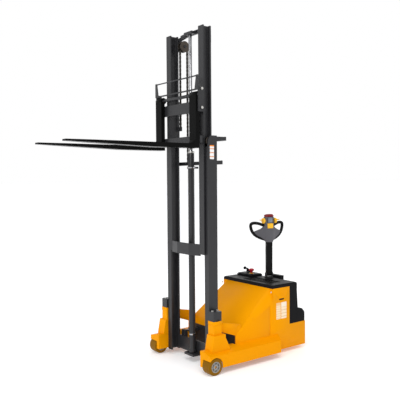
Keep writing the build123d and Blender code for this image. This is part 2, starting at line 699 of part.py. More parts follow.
def pulley_bracket():
    cheek_y = pulley_y + pulley_width / 2 + 1
    plate = block(head_x0, inner_rear_x + 26, cheek_y, cheek_y + 10, pulley_z - 30, beam_foot_z)
    plate += block(head_x0, inner_rear_x, cheek_y + 9, head_span, pulley_z - 37, beam_foot_z)
    return plate + rod_y(pulley_x, pulley_z, 26, pulley_y - pulley_width / 2 - 8, cheek_y + 1)


def pulley():
    wheel = rod_y(pulley_x, pulley_z, pulley_dia + 22, pulley_y - pulley_width / 2,
                  pulley_y + pulley_width / 2)
    groove_dia = pulley_dia - chain_thick
    groove = rod_y(pulley_x, pulley_z, pulley_dia + 24, pulley_y - chain_width / 2 - 2,
                   pulley_y + chain_width / 2 + 2)
    groove -= rod_y(pulley_x, pulley_z, groove_dia - 0.6, pulley_y - 40, pulley_y + 40)
    wheel -= groove
    return wheel - rod_y(pulley_x, pulley_z, 26 + 2 * running_fit, pulley_y - 40, pulley_y + 40)


def chain_wrap():
    ring = rod_y(pulley_x, pulley_z, pulley_dia + chain_thick, pulley_y - chain_width / 2,
                 pulley_y + chain_width / 2)
    ring -= rod_y(pulley_x, pulley_z, pulley_dia - chain_thick, pulley_y - 40, pulley_y + 40)
    return ring - block(pulley_x - 80, pulley_x + 80, pulley_y - 40, pulley_y + 40, pulley_z - 80, pulley_z)


pair("pulley_brackets", pulley_bracket())
pair("chain_pulleys", pulley())
pair("chain_wraps", chain_wrap())
pair("chains_front", block(front_chain_x - chain_thick / 2, front_chain_x + chain_thick / 2,
                           pulley_y - chain_width / 2, pulley_y + chain_width / 2, lug_z, pulley_z))


# --- fork carriage ---

bars = [block(*bar_x, -carriage_half, carriage_half, *z) for z in (upper_bar_z, lower_bar_z)]
keep("carriage_bars", *bars)


def carriage_plate():
    in_y = inner_in_y - 22
    out_y = inner_in_y - 2
    low_z = carriage_roller_z[0] - 38
    high_z = carriage_roller_z[1] + 40
    plate = side_prism([(inner_mid_x - 36, low_z), (bar_x[0], low_z), (bar_x[0], high_z - 20),
                        (inner_front_x, high_z), (inner_mid_x - 36, high_z)], in_y, out_y)
    plate += block(inner_front_x + 12, bar_x[0], in_y, out_y, lower_bar_z[0], low_z + 1)
    for z in carriage_roller_z:
        plate += rod_y(inner_mid_x, z, 24, out_y - 1, inner_web_y - 4)
    plate += block(front_chain_x - 8, front_chain_x + 9, pulley_y - chain_width / 2, in_y + 1,
                   lug_z - 40, lug_z)
    return plate


plate_x0 = bar_x[0] - 5
plate_x1 = bar_x[1] + 24
plate_out_y = carriage_half + 12
plate_top_z = shaft_z + 63
rail_z = shaft_z + 37


def end_plate():
    foot_z = upper_bar_z[0] + 1
    plate = side_prism([(plate_x0, foot_z), (plate_x1, foot_z), (plate_x1, plate_top_z),
                        (plate_x0, plate_top_z)], carriage_half, plate_out_y)
    plate -= rod_y(shaft_x, shaft_z, shaft_dia + 2 * running_fit, carriage_half - 1, carriage_half + 13)
    upright = end_prism([(plate_out_y - 48, rail_z), (plate_out_y, rail_z), (plate_out_y, rest_top_z),
                         (plate_out_y - 24, rest_top_z)], plate_x1 - 0.5, plate_x1 + 8)
    for z in (upper_bar_z[0] + 34, plate_top_z - 12):
        plate += rod_y(plate_x0 + 23, z, 20, carriage_half + 11, carriage_half + 20)
    return plate + upright


pair("carriage_plates", carriage_plate())
rail_half = plate_out_y - 20
rails = [rod_y(plate_x1 + 3, rest_top_z - 8, 12, -rail_half, rail_half),
         block(plate_x1, plate_x1 + 8, -rail_half + 24, rail_half - 24, rail_z, rail_z + 13)]
end = end_plate()
keep("backrest", end, other_side(end), *rails)
keep("fork_shaft", rod_y(shaft_x, shaft_z, shaft_dia, -carriage_half - 12, carriage_half + 12))
for name, z in zip(("lower", "upper"), carriage_roller_z):
    pair("carriage_rollers_" + name, roller(inner_track - 2 * roller_fit, inner_mid_x, inner_in_y + 2,
                                            inner_web_y - 3, z, 24))


def fork():
    y0 = fork_y - fork_width / 2
    y1 = fork_y + fork_width / 2
    heel_x = fork_back_x + fork_thick
    tip_thick = 14.0
    foot_z = fork_top_z - fork_thick
    bar = side_prism([(fork_back_x, foot_z), (heel_x + 0.35 * fork_reach, foot_z),
                      (fork_tip_x, fork_top_z - tip_thick), (fork_tip_x, fork_top_z),
                      (heel_x, fork_top_z), (heel_x, shaft_z - 10), (heel_x - 12, shaft_z + 10),
                      (fork_back_x, shaft_z + 10)], y0, y1)
    heel = [edge for edge in bar.edges().filter_by(Axis.Y)
            if abs(edge.center().X - heel_x) < 1 and abs(edge.center().Z - fork_top_z) < 1]
    bar = fillet(heel, 30)
    taper = 18.0
    for side in (-1, 1):
        edge_y = fork_y + side * fork_width / 2
        bar -= plan_prism([(fork_tip_x - 220, edge_y), (fork_tip_x + 1, edge_y - side * taper),
                           (fork_tip_x + 1, edge_y + side), (fork_tip_x - 220, edge_y + side)],
                          foot_z - 1, fork_top_z + 1)
    bar += rod_y(shaft_x, shaft_z, shaft_dia + 30, y0, y1)
    return bar - rod_y(shaft_x, shaft_z, shaft_dia + 2 * running_fit, y0 - 1, y1 + 1)


both("fork", fork())


# --- tilt cylinders, between the body and the foot of the outer mast ---

def tilt_barrel():
    tube = rod_x(tilt_y, tilt_z, 46, tilt_seat_x + 16, tilt_seat_x + 90)
    tube += rod_y(tilt_seat_x, tilt_z, 28, tilt_y - cheek_gap, tilt_y + cheek_gap)
    tube += block(tilt_seat_x, tilt_seat_x + 20, tilt_y - cheek_gap, tilt_y + cheek_gap,
                  tilt_z - 12, tilt_z + 12)
    tube -= rod_y(tilt_seat_x, tilt_z, 16 + 2 * running_fit, tilt_y - 20, tilt_y + 20)
    return tube - rod_x(tilt_y, tilt_z, 24 + 2 * running_fit, tilt_seat_x + 24, tilt_seat_x + 91)


def tilt_rod():
    stem = rod_x(tilt_y, tilt_z, 24, tilt_seat_x + 40, tilt_pin_x - 8)
    stem += rod_y(tilt_pin_x, tilt_z, 26, tilt_y - cheek_gap + 1, tilt_y + cheek_gap - 1)
    return stem - rod_y(tilt_pin_x, tilt_z, 17, tilt_y - 20, tilt_y + 20)


pair("tilt_barrels", tilt_barrel())
pair("tilt_rods", tilt_rod())


def middle_x():
    """Half way along the whole truck, from the bounds of every solid."""
    boxes = [solid.bounding_box() for solids in nodes.values() for solid in solids]
    return (min(b.min.X for b in boxes) + max(b.max.X for b in boxes)) / 2


centre_x = round(middle_x(), 3)


def export():
    os.makedirs("parts", exist_ok=True)
    for name, solids in nodes.items():
        moved = [Pos(-centre_x, 0, 0) * solid for solid in solids]
        shape = moved[0] if len(moved) == 1 else Compound(children=moved)
        export_step(shape, f"parts/{name}.step")


export()
print(len(nodes), "nodes")
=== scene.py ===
import bpy
import bmesh
from math import radians, sin, cos, pi, sqrt
from mathutils import Vector, Matrix


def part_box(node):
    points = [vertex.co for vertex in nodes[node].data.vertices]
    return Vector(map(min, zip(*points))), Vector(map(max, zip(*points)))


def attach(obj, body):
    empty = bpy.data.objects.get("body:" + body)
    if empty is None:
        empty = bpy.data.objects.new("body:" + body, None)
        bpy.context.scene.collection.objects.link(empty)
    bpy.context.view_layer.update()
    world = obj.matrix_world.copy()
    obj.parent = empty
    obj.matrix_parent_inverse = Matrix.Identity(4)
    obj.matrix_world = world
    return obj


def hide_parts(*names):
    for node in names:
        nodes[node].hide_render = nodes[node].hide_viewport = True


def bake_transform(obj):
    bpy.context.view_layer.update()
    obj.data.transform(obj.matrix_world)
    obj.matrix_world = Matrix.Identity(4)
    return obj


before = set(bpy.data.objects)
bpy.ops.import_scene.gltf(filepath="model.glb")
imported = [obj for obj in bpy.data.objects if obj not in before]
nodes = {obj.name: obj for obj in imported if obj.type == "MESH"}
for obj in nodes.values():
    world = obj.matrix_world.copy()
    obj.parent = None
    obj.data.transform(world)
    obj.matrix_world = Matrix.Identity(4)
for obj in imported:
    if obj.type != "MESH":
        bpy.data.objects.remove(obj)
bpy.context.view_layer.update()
sides = ((1, "left"), (-1, "right"))
edges = {"weld": 1e-5, "flat": 0.6, "sharp": 32, "segments": 2}  # weld in metres, angles in degrees
print("frame loaded:", len(nodes), "nodes")


def link(obj):
    bpy.context.scene.collection.objects.link(obj)
    return obj


def meshObject(name, verts, faces):
    mesh = bpy.data.meshes.new(name)
    mesh.from_pydata([tuple(v) for v in verts], [], faces)
    mesh.update()
    obj = link(bpy.data.objects.new(name, mesh))
    bm = bmesh.new()
    bm.from_mesh(mesh)
    bmesh.ops.recalc_face_normals(bm, faces=bm.faces)
    bm.to_mesh(mesh)
    bm.free()
    return obj


def applyModifiers(obj):
    graph = bpy.context.evaluated_depsgraph_get()
    fresh = bpy.data.meshes.new_from_object(obj.evaluated_get(graph))
    obj.modifiers.clear()
    obj.data = fresh
    return obj


def roundEdges(obj, width):  # soft edges catch the light
    weld = obj.modifiers.new("weld", "WELD")
    weld.merge_threshold = edges["weld"]
    flat = obj.modifiers.new("flat", "DECIMATE")
    flat.decimate_type = "DISSOLVE"
    flat.angle_limit = radians(edges["flat"])
    bevel = obj.modifiers.new("bevel", "BEVEL")
    bevel.width = width
    bevel.segments = edges["segments"]
    bevel.limit_method = "ANGLE"
    bevel.angle_limit = radians(edges["sharp"])
    bevel.harden_normals = True
    bevel.use_clamp_overlap = True
    return obj


def smooth(obj, angle=35):
    for poly in obj.data.polygons:
        poly.use_smooth = True
    bm = bmesh.new()
    bm.from_mesh(obj.data)
    for edge in bm.edges:
        if len(edge.link_faces) == 2 and edge.calc_face_angle(0) > radians(angle):
            edge.smooth = False
    bm.to_mesh(obj.data)
    bm.free()
    return obj


def prism(name, outline, axis, low, high):  # the outline's numbers are the other two axes in order
    def place(a, b, c):
        return {"x": (c, a, b), "y": (a, c, b), "z": (a, b, c)}[axis]
    count = len(outline)
    verts = [place(a, b, low) for a, b in outline] + [place(a, b, high) for a, b in outline]
    faces = [tuple(range(count)), tuple(range(2 * count - 1, count - 1, -1))]
    faces += [(i, (i + 1) % count, (i + 1) % count + count, i + count) for i in range(count)]
    return meshObject(name, verts, faces)


def roundedRect(cx, cy, width, height, radius, steps=6):
    points = []
    for k, (sx, sy) in enumerate(((1, 1), (-1, 1), (-1, -1), (1, -1))):
        for i in range(steps + 1):
            a = radians(90 * k + 90 * i / steps)
            points.append((cx + sx * (width / 2 - radius) + radius * cos(a),
                           cy + sy * (height / 2 - radius) + radius * sin(a)))
    return points


def lathe(name, profile, centre, axis, steps=48, ring=False):  # the profile is (along, radius) pairs
    centre, axis = Vector(centre), Vector(axis).normalized()
    turn = Vector((0, 0, 1)).rotation_difference(axis)
    verts, faces = [], []
    for along, radius in profile:
        for k in range(steps):
            a = 2 * pi * k / steps
            verts.append(centre + turn @ Vector((radius * cos(a), radius * sin(a), along)))
    rings = len(profile)
    for r in range(rings - 1):
        for k in range(steps):
            n = (k + 1) % steps
            faces.append((r * steps + k, r * steps + n, (r + 1) * steps + n, (r + 1) * steps + k))
    last = (rings - 1) * steps
    if ring:
        faces += [(last + k, last + (k + 1) % steps, (k + 1) % steps, k) for k in range(steps)]
    else:
        faces += [tuple(reversed(range(steps))), tuple(range(last, last + steps))]
    return meshObject(name, verts, faces)


def tube(name, points, radius, steps):
    curve = bpy.data.curves.new(name, "CURVE")
    curve.dimensions = "3D"
    curve.bevel_depth = radius
    curve.bevel_resolution = 5
    curve.use_fill_caps = True
    curve.resolution_u = steps
    spline = curve.splines.new("NURBS")
    spline.points.add(len(points) - 1)
    for point, p in zip(spline.points, points):
        point.co = (*p, 1)
    spline.order_u = 4
    spline.use_endpoint_u = True
    obj = link(bpy.data.objects.new(name, curve))
    mesh = bpy.data.meshes.new_from_object(obj.evaluated_get(bpy.context.evaluated_depsgraph_get()))
    bpy.data.objects.remove(obj)
    return smooth(link(bpy.data.objects.new(name, mesh)), 50)


def join(name, parts):
    bm = bmesh.new()
    for part in parts:
        bm.from_mesh(part.data)
        bpy.data.objects.remove(part)
    mesh = bpy.data.meshes.new(name)
    bm.to_mesh(mesh)
    bm.free()
    return link(bpy.data.objects.new(name, mesh))


def cut(obj, cutter):
    boolean = obj.modifiers.new("cut", "BOOLEAN")
    boolean.operation = "DIFFERENCE"
    boolean.object = cutter
    boolean.solver = "EXACT"
    applyModifiers(obj)
    bpy.data.objects.remove(cutter)
    return obj


def finish(obj, material, body, stands=(), bevel=0.0):
    obj.data.materials.clear()
    obj.data.materials.append(material)
    if bevel:
        roundEdges(obj, bevel)
        applyModifiers(obj)
        smooth(obj)
    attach(obj, body)
    if stands:
        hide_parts(*stands)
    return obj


class Nodes:  # short names for building one material
    def __init__(self, name):
        self.material = bpy.data.materials.new(name)
        self.material.use_nodes = True
        self.tree = self.material.node_tree
        self.shader = self.tree.nodes["Principled BSDF"]
        self.coords = self.tree.nodes.new("ShaderNodeTexCoord")

    def add(self, kind, **values):
        node = self.tree.nodes.new("ShaderNode" + kind)
        for key, value in values.items():
            setattr(node, key, value)
        return node

    def join(self, out, into):
        self.tree.links.new(out, into)

    def stretched(self, scale):
        mapping = self.add("Mapping")
        mapping.inputs["Scale"].default_value = scale
        self.join(self.coords.outputs["Object"], mapping.inputs["Vector"])
        return mapping.outputs["Vector"]

    def noise(self, scale, detail=3.0, rough=0.55, stretch=None):
        node = self.add("TexNoise")
        node.inputs["Scale"].default_value = scale
        node.inputs["Detail"].default_value = detail
        node.inputs["Roughness"].default_value = rough
        vector = self.stretched(stretch) if stretch else self.coords.outputs["Object"]
        self.join(vector, node.inputs["Vector"])
        return node.outputs["Fac"]

    def span(self, value, low, high, fromMin=0.3, fromMax=0.7):
        node = self.add("MapRange")
        node.inputs["From Min"].default_value = fromMin
        node.inputs["From Max"].default_value = fromMax
        node.inputs["To Min"].default_value = low
        node.inputs["To Max"].default_value = high
        self.join(value, node.inputs["Value"])
        return node.outputs["Result"]

    def maths(self, operation, a, b):
        node = self.add("Math", operation=operation)
        for k, value in enumerate((a, b)):
            if isinstance(value, (int, float)):
                node.inputs[k].default_value = value
            else:
                self.join(value, node.inputs[k])
        return node.outputs["Value"]

    def mix(self, factor, a, b):
        node = self.add("Mix", data_type="RGBA")
        self.join(factor, node.inputs["Factor"])
        for key, value in (("A", a), ("B", b)):
            socket = [s for s in node.inputs if s.name == key and s.type == "RGBA"][0]
            if isinstance(value, tuple):
                socket.default_value = (*value, 1)
            else:
                self.join(value, socket)
        return [s for s in node.outputs if s.type == "RGBA"][0]

    def bump(self, height, strength, distance, normal=None):
        node = self.add("Bump")
        node.inputs["Strength"].default_value = strength
        node.inputs["Distance"].default_value = distance
        self.join(height, node.inputs["Height"])
        if normal:
            self.join(normal, node.inputs["Normal"])
        self.join(node.outputs["Normal"], self.shader.inputs["Normal"])
        return node.outputs["Normal"]

    def lowDarkening(self, top):  # a darker mottled tone towards the bottom that fades out above a height
        split = self.add("SeparateXYZ")
        self.join(self.coords.outputs["Object"], split.inputs["Vector"])
        low = self.span(split.outputs["Z"], 1, 0, 0.0, top)
        return self.maths("MULTIPLY", low, self.span(self.noise(14, 6, 0.7), 0.1, 1, 0.4, 0.7))


# a noise is a scale, a detail and at times a roughness, and a bump is a strength and a depth in metres
# a finish's roughness spreads by an amount, or by a share on metal
paintGrain = {"patch": (1.7, 2), "fine": (55, 4), "spread": (-0.05, 0.07), "peelBump": (0.05, 0.0005),
              "wave": (5, 2), "waveBump": (0.05, 0.004)}
mouldGrain = {"patch": (3.0, 3), "fine": (24, 4), "spread": (-0.06, 0.08), "cellDepth": 0.0005,
              "wave": (9, 2), "waveBump": (0.04, 0.002)}
metalGrain = {"lines": (60, 4, 0.6), "stain": (11, 5, 0.65), "stainEdge": (0.4, 0.75),
              "spread": (0.75, 1.35), "lineDepth": 0.0004}
labelGrain = {"ruleEdge": (0.75, 0.9), "fine": (40, 3), "rough": (0.3, 0.42), "wave": (120, 2),
              "waveBump": (0.03, 0.0003)}


def paint(name, look):  # sprayed metal
    n = Nodes(name)
    shade = n.span(n.noise(*paintGrain["patch"]), 0, 1)
    colour = n.mix(shade, look["colour"], look["shade"])
    # the colour goes darker and mottled towards the bottom, fading out above the given height
    if look.get("darkenBelow"):
        share = n.maths("MULTIPLY", n.lowDarkening(look["darkenBelow"]), look["darkenShare"])
        colour = n.mix(share, colour, look["darkenColour"])
    n.join(colour, n.shader.inputs["Base Color"])
    low, high = (look["rough"] + step for step in paintGrain["spread"])
    n.join(n.span(n.noise(*paintGrain["fine"]), low, high), n.shader.inputs["Roughness"])
    n.shader.inputs["Specular IOR Level"].default_value = look["shine"]
    first = n.bump(n.noise(look["peel"], 2), *paintGrain["peelBump"])
    n.bump(n.noise(*paintGrain["wave"]), *paintGrain["waveBump"], first)
    return n.material


def moulded(name, look):  # moulded plastic or cast rubber
    n = Nodes(name)
    colour = n.mix(n.span(n.noise(*mouldGrain["patch"]), 0, 1), look["colour"], look["shade"])
    n.join(colour, n.shader.inputs["Base Color"])
    low, high = (look["rough"] + step for step in mouldGrain["spread"])
    n.join(n.span(n.noise(*mouldGrain["fine"]), low, high), n.shader.inputs["Roughness"])
    n.shader.inputs["Specular IOR Level"].default_value = look["shine"]
    cells = n.add("TexVoronoi")
    cells.inputs["Scale"].default_value = look["grain"]
    n.join(n.coords.outputs["Object"], cells.inputs["Vector"])
    first = n.bump(cells.outputs["Distance"], look["depth"], mouldGrain["cellDepth"])
    n.bump(n.noise(*mouldGrain["wave"]), *mouldGrain["waveBump"], first)
    return n.material


def metal(name, look):  # bare or plated; lines is the stretch of the polishing marks
    n = Nodes(name)
    n.shader.inputs["Metallic"].default_value = 1.0
    lines = n.noise(*metalGrain["lines"], stretch=look["lines"])
    stain = n.span(n.noise(*metalGrain["stain"]), 0, 1, *metalGrain["stainEdge"])
    n.join(n.mix(stain, look["colour"], look["shade"]), n.shader.inputs["Base Color"])
    low, high = (look["rough"] * share for share in metalGrain["spread"])
    n.join(n.span(lines, low, high), n.shader.inputs["Roughness"])
    n.bump(lines, look["depth"], metalGrain["lineDepth"])
    return n.material


# the yellow turns a little darker and mottled towards the bottom, up to the given height
yellowLook = {"colour": (0.86, 0.33, 0.0), "shade": (0.82, 0.31, 0.0), "rough": 0.42, "shine": 0.03,
              "peel": 260, "darkenBelow": 0.2, "darkenShare": 0.1, "darkenColour": (0.34, 0.15, 0.02)}
mastLook = {"colour": (0.024, 0.024, 0.026), "shade": (0.019, 0.019, 0.021), "rough": 0.34, "shine": 0.34,
            "peel": 300}
forkLook = {"colour": (0.003, 0.003, 0.003), "shade": (0.005, 0.005, 0.005), "rough": 0.26, "shine": 0.04,
            "peel": 240}
ironLook = {"colour": (0.022, 0.022, 0.024), "shade": (0.032, 0.031, 0.03), "rough": 0.42, "shine": 0.3,
            "peel": 200}
coverLook = {"colour": (0.005, 0.005, 0.006), "shade": (0.008, 0.008, 0.009), "rough": 0.42, "shine": 0.06,
             "grain": 900, "depth": 0.12}
greyLook = {"colour": (0.085, 0.083, 0.094), "shade": (0.10, 0.098, 0.108), "rough": 0.45, "shine": 0.3,
            "grain": 1100, "depth": 0.14}
gripLook = {"colour": (0.004, 0.004, 0.004), "shade": (0.006, 0.006, 0.006), "rough": 0.42, "shine": 0.09,
            "grain": 700, "depth": 0.25}
treadLook = {"colour": (0.25, 0.115, 0.001), "shade": (0.19, 0.085, 0.001), "rough": 0.44, "shine": 0.08,
             "grain": 260, "depth": 0.06}
hubLook = {"colour": (0.23, 0.225, 0.215), "shade": (0.30, 0.29, 0.27), "rough": 0.5, "shine": 0.3,
           "grain": 420, "depth": 0.3}
capLook = {"colour": (0.93, 0.52, 0.02), "shade": (0.88, 0.46, 0.015), "rough": 0.3, "shine": 0.3,
           "grain": 1000, "depth": 0.08}
redLook = {"colour": (0.52, 0.01, 0.03), "shade": (0.43, 0.009, 0.024), "rough": 0.26, "shine": 0.3,
           "grain": 800, "depth": 0.05}
bellyLook = {"colour": (0.22, 0.012, 0.014), "shade": (0.17, 0.01, 0.012), "rough": 0.34, "shine": 0.25,
             "grain": 800, "depth": 0.05}
boltLook = {"colour": (0.62, 0.61, 0.58), "shade": (0.42, 0.41, 0.38), "rough": 0.30, "lines": (1, 1, 1),
            "depth": 0.05}
chromeLook = {"colour": (0.42, 0.42, 0.43), "shade": (0.34, 0.34, 0.35), "rough": 0.14,
              "lines": (30, 30, 0.4), "depth": 0.02}
chainLook = {"colour": (0.07, 0.066, 0.062), "shade": (0.12, 0.105, 0.085), "rough": 0.38,
             "lines": (1, 1, 6), "depth": 0.05}
rollerLook = {"colour": (0.10, 0.085, 0.07), "shade": (0.06, 0.05, 0.042), "rough": 0.4, "lines": (1, 8, 1),
              "depth": 0.05}

yellow = paint("yellow paint", yellowLook)
mastPaint = paint("mast paint", mastLook)
forkPaint = paint("fork paint", forkLook)
ironPaint = paint("black iron", ironLook)
coverPlastic = moulded("cover plastic", coverLook)
greyPlastic = moulded("head plastic", greyLook)
gripRubber = moulded("grip rubber", gripLook)
tread = moulded("cast tread", treadLook)
hubIron = moulded("cast hub", hubLook)
yellowPlastic = moulded("yellow plastic", capLook)
redPlastic = moulded("red plastic", redLook)
bellyRed = moulded("belly red", bellyLook)
bolt = metal("plated bolt", boltLook)
chrome = metal("chrome", chromeLook)
chainSteel = metal("oiled chain", chainLook)
rollerSteel = metal("roller steel", rollerLook)


def glassMaterial(name, look):  # dark display glass
    n = Nodes(name)
    n.join(n.mix(n.span(n.noise(30, 2), 0, 1), look["colour"], look["shade"]), n.shader.inputs["Base Color"])
    n.shader.inputs["Roughness"].default_value = look["rough"]
    n.shader.inputs["Coat Weight"].default_value = look["coat"]
    n.bump(n.noise(18, 2), 0.02, 0.0004)
    return n.material


glassLook = {"colour": (0.15, 0.18, 0.22), "shade": (0.12, 0.145, 0.18), "rough": 0.12, "coat": 1.0}
displayGlass = glassMaterial("display glass", glassLook)


def stickerMaterial(name, look):  # a blank label: a pale field, a coloured head band and a few rules
    n = Nodes(name)
    split = n.add("SeparateXYZ")
    n.join(n.coords.outputs["Object"], split.inputs["Vector"])
    z = split.outputs["Z"]
    inBand = n.maths("GREATER_THAN", z, look["bandFrom"])
    rules = n.add("TexWave", wave_type="BANDS", bands_direction="Z")
    rules.inputs["Scale"].default_value = look["rules"]
    n.join(n.coords.outputs["Object"], rules.inputs["Vector"])
    lines = n.span(rules.outputs["Fac"], 0, look["ruleDark"], *labelGrain["ruleEdge"])
    paper = n.mix(lines, look["paper"], look["ink"])
    colour = n.mix(inBand, paper, look["band"])
    n.join(colour, n.shader.inputs["Base Color"])
    rough = n.span(n.noise(*labelGrain["fine"]), *labelGrain["rough"])
    n.join(rough, n.shader.inputs["Roughness"])
    n.bump(n.noise(*labelGrain["wave"]), *labelGrain["waveBump"])
    return n.material


print("finishes made")


# what the frame already has right, each with its finish and the width of its rounded edges in metres
keptNodes = {
    "leg_left": (yellow, 0.004), "leg_right": (yellow, 0.004), "base_plate": (yellow, 0.001),
    "rear_skirt": (yellow, 0.002), "mast_post_left": (yellow, 0.004), "mast_post_right": (yellow, 0.004),
    "front_bulkhead": (ironPaint, 0.001), "steering_bearing": (ironPaint, 0.001),
    "drive_unit": (ironPaint, 0.0015), "hydraulic_unit": (ironPaint, 0.003), "battery": (coverPlastic, 0.005),
    "controller": (coverPlastic, 0.002), "tilt_barrels": (ironPaint, 0.001), "pivot_caps": (mastPaint, 0.003),
    "top_cover": (coverPlastic, 0.003), "rear_column": (coverPlastic, 0.014),
    "rear_step": (coverPlastic, 0.006),
    "outer_channel_left": (mastPaint, 0.002), "outer_channel_right": (mastPaint, 0.002),
    "inner_channel_left": (mastPaint, 0.002), "inner_channel_right": (mastPaint, 0.002),
    "outer_lower_beam": (mastPaint, 0.0015), "tie_bars": (mastPaint, 0.002),
    "lift_barrel": (mastPaint, 0.001),
    "inner_top_beam": (mastPaint, 0.002), "inner_lower_brace": (mastPaint, 0.002),
    "pulley_brackets": (mastPaint, 0.0015), "carriage_bars": (mastPaint, 0.002),
    "carriage_plates": (mastPaint, 0.0015), "backrest": (mastPaint, 0.0012),
    "fork_left": (forkPaint, 0.003), "fork_right": (forkPaint, 0.003), "fork_shaft": (mastPaint, 0.001),
    "tiller_arm": (gripRubber, 0.006),
    "lift_button": (yellowPlastic, 0.002),
    "lift_rod": (chrome, 0.0008), "barrel_gland": (bolt, 0.0015), "tilt_rods": (chrome, 0.0008),
    "outer_rollers": (rollerSteel, 0.0008), "inner_rollers": (rollerSteel, 0.0008),
    "carriage_rollers_lower": (rollerSteel, 0.0008), "carriage_rollers_upper": (rollerSteel, 0.0008),
    "chain_pulleys": (rollerSteel, 0.0008), "cap_bolts": (bolt, 0.0008),
    "wheel_tyre_left": (tread, 0.0008), "wheel_tyre_right": (tread, 0.0008), "drive_wheel": (tread, 0.0008),
    "wheel_hub_left": (hubIron, 0.0012), "wheel_hub_right": (hubIron, 0.0012),
}
for name, (material, width) in keptNodes.items():
    node = nodes[name]
    node.data.materials.clear()
    node.data.materials.append(material)
    roundEdges(node, width)
print("frame nodes finished:", len(keptNodes))


# what is added to the frame, or stands in for a plainer node, is drawn in millimetres
# from the load wheels' axle line, as on the truck's drawing
hubLow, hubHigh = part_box("wheel_hub_left")
axle = ((hubLow + hubHigh) / 2).x


def spot(x, y, z):
    return Vector((axle + x / 1000, y / 1000, z / 1000))


def placed(obj):  # from drawing millimetres to the frame
    obj.data.transform(Matrix.Translation((axle, 0, 0)) @ Matrix.Scale(0.001, 4))
    return obj


def slab(name, x0, x1, y0, y1, z0, z1):
    return prism(name, [(x0, y0), (x1, y0), (x1, y1), (x0, y1)], "z", z0, z1)


# body sheets: the side plates, the sloping hood and the folded corner between them
slopeFoot, slopeTop = (-321, 274), (-790, 644)  # the hood's lower and upper lines, as (x, z)
body = {
    "half": 366, "wall": 10, "hoodWall": 4,
    "outline": [(-1245, 37), (slopeFoot[0], 37), slopeFoot, (-150, 335), (-122, 335), (-122, 425),
                (-430, 360), slopeTop, (-1022, slopeTop[1]), (-1022, 271), (-1245, 271)],
    "seam": {"x": -755, "foot": 204, "top": 621, "width": 4.4, "depth": 4},
    "slot": {"x": -914, "z": 531, "width": 70, "height": 16, "round": 7.5, "deep": 6},
    "liner": {"less": 1, "round": 7, "deep": (5.9, 3.5)},
    "fold": {"inner": (300, slopeTop[1]), "bend": (366, 612), "outer": (366, 515), "lap": 14, "proud": 0.15,
             "thick": 4, "inward": (0.2, -0.8, -0.55)},
    "gusset": {"in": 1, "thick": 3},
    "screw": {"back": 14, "below": 14, "under": 6,
              "profile": [(0, 7.5), (1.6, 7.2), (2.6, 5.4), (2.6, 3.2), (1.2, 2.9)]},
    "round": 0.0018, "hoodRound": 0.001,
}
cutter = {"past": 5, "clear": 0.5, "side": 420, "high": 720, "footHigh": 340}  # room round the cuts


def foldCurve(steps=8):  # the bend's section where it meets the cover, as (y, z)
    outer, bend, inner = (Vector(body["fold"][k]) for k in ("outer", "bend", "inner"))
    shares = [k / steps for k in range(steps + 1)]
    return [outer * (1 - t) ** 2 + bend * 2 * t * (1 - t) + inner * t * t for t in shares]


def foldCutter(sign):  # takes off the sharp corner where the fold goes
    half, side = body["half"], cutter["side"]
    footX, footZ = slopeFoot
    curve = foldCurve()
    section = [(c.x, c.y) for c in curve]
    section += [(body["fold"]["inner"][0], cutter["high"]), (side, cutter["high"]), (side, curve[0].y)]
    tip = [(half, footZ)] * len(curve)
    tip += [(half, cutter["footHigh"]), (side, cutter["footHigh"]), (side, footZ)]
    verts = [(slopeTop[0] - cutter["clear"], sign * y, z) for y, z in section]
    verts += [(footX, sign * y, z) for y, z in tip]
    count = len(section)
    faces = [tuple(range(count)), tuple(range(count, 2 * count))]
    for k in range(count):
        n = (k + 1) % count
        faces += [(k, n, n + count), (k, n + count, k + count)]
    shape = meshObject("fold cutter", verts, faces)
    bm = bmesh.new()
    bm.from_mesh(shape.data)
    bmesh.ops.remove_doubles(bm, verts=bm.verts, dist=1e-4)
    bmesh.ops.dissolve_degenerate(bm, edges=bm.edges, dist=1e-4)
    bmesh.ops.triangulate(bm, faces=bm.faces)
    bmesh.ops.recalc_face_normals(bm, faces=bm.faces)
    bm.to_mesh(shape.data)
    bm.free()
    return shape


def foldSheet(sign, name):  # the bent sheet itself, a cone from the slope's foot
    fold = body["fold"]
    curve = [Vector((slopeTop[0], c.x, c.y)) for c in foldCurve()]
    lap = Vector((slopeTop[0], body["half"] + fold["proud"], curve[0].z - fold["lap"]))
    inward = Vector(fold["inward"]).normalized() * fold["thick"]
    outer = [Vector((slopeFoot[0], body["half"], slopeFoot[1])), lap] + curve
    points = [(p.x, sign * p.y, p.z) for p in outer + [p + inward for p in outer]]
    n = len(outer)
    faces = [(0, k, k + 1) for k in range(1, n - 1)] + [(n, n + k + 1, n + k) for k in range(1, n - 1)]
    faces += [(k, (k + 1) % n, (k + 1) % n + n, k + n) for k in range(n)]
    return smooth(meshObject(name, points, faces), 28)


def sidePlate(sign, name):
    seam, slot = body["seam"], body["slot"]
    face, past = sign * body["half"], sign * cutter["past"]
    plate = prism(name, body["outline"], "y", *sorted((face - sign * body["wall"], face)))
    cut(plate, foldCutter(sign))
    cut(plate, slab("seam cutter", seam["x"] - seam["width"] / 2, seam["x"] + seam["width"] / 2,
                    face - sign * seam["depth"], face + past, seam["foot"], seam["top"]))
    outline = roundedRect(slot["x"], slot["z"], slot["width"], slot["height"], slot["round"])
    return cut(plate, prism("slot cutter", outline, "y", *sorted((face - sign * slot["deep"], face + past))))


def slotLiner(sign, name):
    slot, liner = body["slot"], body["liner"]
    face = sign * body["half"]
    width, height = slot["width"] - liner["less"], slot["height"] - liner["less"]
    outline = roundedRect(slot["x"], slot["z"], width, height, liner["round"])
    return prism(name, outline, "y", *sorted(face - sign * deep for deep in liner["deep"]))


